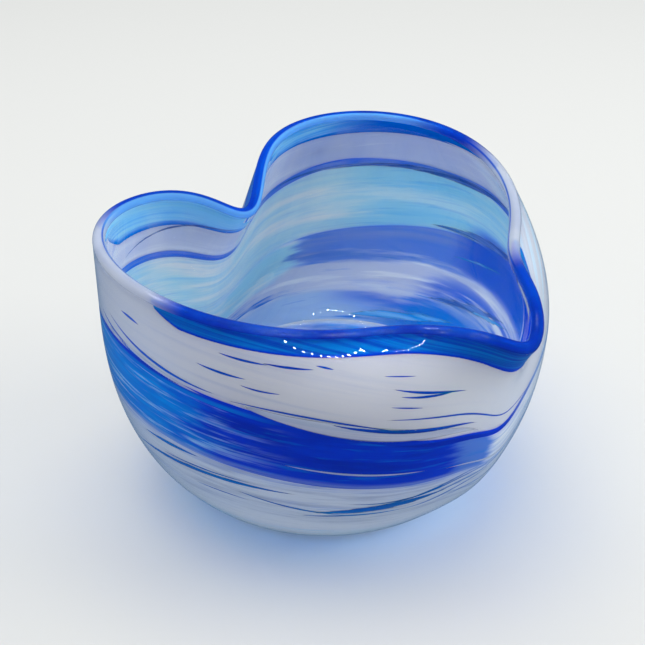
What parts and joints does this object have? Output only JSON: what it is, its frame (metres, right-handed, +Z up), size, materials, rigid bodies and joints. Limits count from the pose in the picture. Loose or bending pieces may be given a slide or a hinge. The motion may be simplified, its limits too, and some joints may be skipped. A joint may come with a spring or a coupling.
{
  "type": "art glass bowl",
  "caption": "Hand-blown heart-shaped glass bowl with a pinched tip, a deep notch, banded blue and opal white colour inside clear glass, and a melted round lip.",
  "frame": {"origin": "centre of the flat ground underside", "axes": "+Z up out of the bowl's mouth, -Y towards the pinched tip of the heart, +Y towards the notch"},
  "size_m": [0.1498, 0.1439, 0.1051],
  "materials": {
    "clear_glass": "clear blown glass, fire polished",
    "azure_lip_glass": "melted round lip, clear over azure",
    "azure_glass": "transparent azure colour layer",
    "cobalt_glass": "dense cobalt colour layer",
    "sky_blue_glass": "streaky sky to cobalt blue colour layer",
    "opal_white_glass": "opal white with fine blue threads",
    "floor_blue_glass": "spotted transparent blue colour layer"
  },
  "bodies": {
    "root": {"polished_base": "clear_glass", "outer_casing": "clear_glass", "inner_lining": "clear_glass", "rim_bead": "azure_lip_glass", "blue_floor_layer": "floor_blue_glass", "white_lower_band": "opal_white_glass", "blue_middle_band": "sky_blue_glass", "cobalt_stripe": "cobalt_glass", "white_upper_band": "opal_white_glass", "azure_front_band": "azure_glass", "azure_back_band": "azure_glass"}
  },
  "joints": []
}
